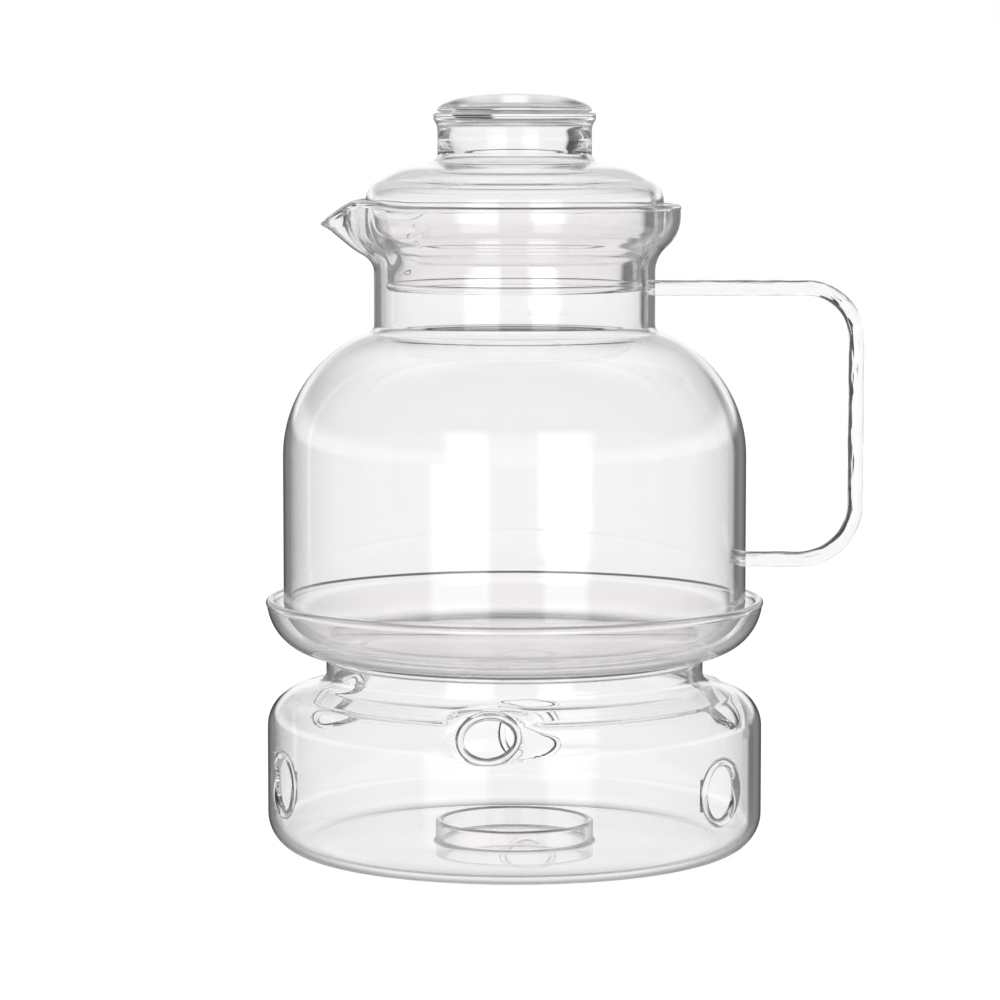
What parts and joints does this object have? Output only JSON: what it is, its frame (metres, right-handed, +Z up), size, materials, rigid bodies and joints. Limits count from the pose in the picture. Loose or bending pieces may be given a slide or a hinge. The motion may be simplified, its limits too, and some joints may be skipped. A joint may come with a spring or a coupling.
{
  "type": "glass teapot on a tealight warmer",
  "caption": "Clear blown-glass teapot with a lid that has a knob, a pinched spout and a square rod handle, standing in a glass dish on a round vented tealight warmer.",
  "frame": {"origin": "centre of the warmer's flat base, on the surface it stands on", "axes": "+Z up along the common axis of warmer, dish, jug and lid; -X towards the spout; +X towards the handle; -Y the front"},
  "size_m": [0.1811, 0.151, 0.2287],
  "materials": {
    "drum_glass": "clear blown borosilicate glass, gloss",
    "vent_glass": "clear fire-polished glass bead, gloss",
    "ring_glass": "clear glass tube, fused on, gloss",
    "dish_glass": "clear blown borosilicate glass, gloss",
    "jug_glass": "clear blown borosilicate glass, gloss",
    "handle_glass": "clear drawn glass rod, gloss",
    "lid_glass": "clear blown borosilicate glass, gloss",
    "knob_glass": "clear solid glass, gloss"
  },
  "bodies": {
    "warmer": {"warmer_drum": "drum_glass", "vent_rim_low_1": "vent_glass", "vent_rim_low_2": "vent_glass", "vent_rim_low_3": "vent_glass", "vent_rim_high_1": "vent_glass", "vent_rim_high_2": "vent_glass", "vent_rim_high_3": "vent_glass", "tealight_ring": "ring_glass"},
    "dish": {"dish": "dish_glass"},
    "jug": {"jug_body": "jug_glass", "jug_spout": "jug_glass", "handle_rod": "handle_glass", "handle_weld_top": "handle_glass", "handle_weld_low": "handle_glass"},
    "lid": {"lid_body": "lid_glass", "lid_knob": "knob_glass"}
  },
  "joints": [
    {"name": "dish_lift", "type": "slide", "parent": "warmer", "child": "dish", "axis": [0, 0, 1], "range_m": [0, 0.03]},
    {"name": "jug_lift", "type": "slide", "parent": "dish", "child": "jug", "axis": [0, 0, 1], "range_m": [0, 0.04]},
    {"name": "lid_lift", "type": "slide", "parent": "jug", "child": "lid", "axis": [0, 0, 1], "range_m": [0, 0.045]}
  ]
}
